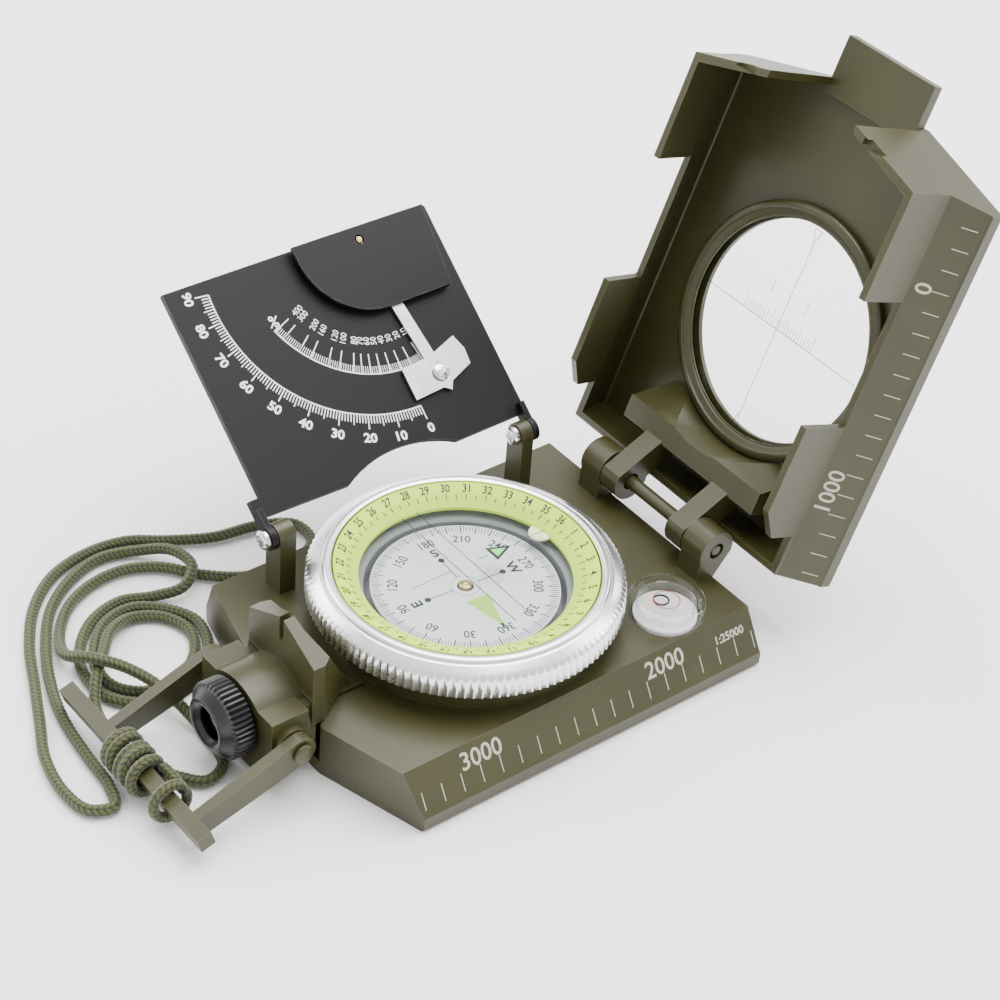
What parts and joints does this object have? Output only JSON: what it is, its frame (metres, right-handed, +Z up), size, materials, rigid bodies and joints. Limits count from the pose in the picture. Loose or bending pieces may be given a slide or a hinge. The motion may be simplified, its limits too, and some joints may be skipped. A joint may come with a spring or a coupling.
{
  "type": "sighting compass",
  "caption": "Folding sighting compass with liquid capsule, knurled bezel, lid with reticle window, hinged clinometer plate, round level, sight with eyepiece, bail and lanyard",
  "frame": {"origin": "on the dial's axis, at the underside of the base", "axes": "+Z up; +Y along the line of sight from the eyepiece to the lid; +X towards the ruler side"},
  "size_m": [0.0913, 0.1643, 0.0928],
  "materials": {
    "olive_paint": "satin olive enamel on die-cast metal",
    "black_plate": "matt black enamel",
    "satin_nickel": "bright turned metal, knurled edge",
    "bright_steel": "bright sheet steel",
    "screw_steel": "plated",
    "brass": "turned",
    "magnet_steel": "plain",
    "white_plastic": "moulded",
    "card_white": "printed white dial",
    "lime_plastic": "printed luminous dial ring",
    "clear_plastic": "clear",
    "knob_black": "moulded, ribbed",
    "lanyard": "braided nylon cord, olive and black"
  },
  "bodies": {
    "base": {"base_casing": "olive_paint", "bottom_cover": "black_plate", "cover_screw_1": "screw_steel", "cover_screw_2": "screw_steel", "cover_screw_3": "screw_steel", "cover_screw_4": "screw_steel", "capsule_cup": "white_plastic", "capsule_crystal": "clear_plastic", "pivot_pin": "screw_steel", "level_base": "white_plastic", "level_vial": "clear_plastic", "hinge_pin": "olive_paint", "sight_bracket": "olive_paint", "sight_prism": "clear_plastic", "bail_rivet_left": "olive_paint", "bail_rivet_right": "olive_paint", "lanyard_cord": "lanyard"},
    "card": {"compass_card": "card_white", "jewel_cap": "brass", "card_magnet": "magnet_steel"},
    "bezel": {"knurled_bezel": "satin_nickel", "degree_ring": "lime_plastic", "bezel_crystal": "clear_plastic"},
    "lid": {"lid": "olive_paint", "window_glass": "clear_plastic", "window_ring": "olive_paint"},
    "clinometer": {"clinometer_plate": "black_plate", "pendulum_hood": "black_plate", "pendulum_pin": "brass", "tilt_screw_rear": "screw_steel", "tilt_screw_front": "screw_steel"},
    "pendulum": {"pendulum": "bright_steel", "pendulum_rivet": "bright_steel"},
    "eyepiece": {"focus_knob": "knob_black", "eyepiece_lens": "clear_plastic"},
    "bail": {"bail": "olive_paint", "lanyard_hitch": "lanyard"}
  },
  "joints": [
    {"name": "card_spin", "type": "hinge", "parent": "base", "child": "card", "pos_m": [0, 0, 0.0155], "axis": [0, 0, 1], "continuous": true},
    {"name": "bezel_turn", "type": "hinge", "parent": "base", "child": "bezel", "pos_m": [0, 0, 0.0175], "axis": [0, 0, 1], "continuous": true},
    {"name": "lid_hinge", "type": "hinge", "parent": "base", "child": "lid", "pos_m": [0, 0.0431, 0.0158], "axis": [1, 0, 0], "range_deg": [-69, 42]},
    {"name": "clinometer_hinge", "type": "hinge", "parent": "base", "child": "clinometer", "pos_m": [-0.023, 0, 0.0222], "axis": [0, 1, 0], "range_deg": [-10, 139]},
    {"name": "pendulum_swing", "type": "hinge", "parent": "clinometer", "child": "pendulum", "pos_m": [-0.05712, 0.0161, 0.04886], "axis": [0.6157, 0, 0.788], "range_deg": [-88, 5]},
    {"name": "eyepiece_focus", "type": "hinge", "parent": "base", "child": "eyepiece", "pos_m": [0, -0.05, 0.0109], "axis": [0, 1, 0], "continuous": true},
    {"name": "bail_swing", "type": "hinge", "parent": "base", "child": "bail", "pos_m": [0, -0.0434, 0.0109], "axis": [-1, 0, 0], "range_deg": [0, 105]}
  ]
}
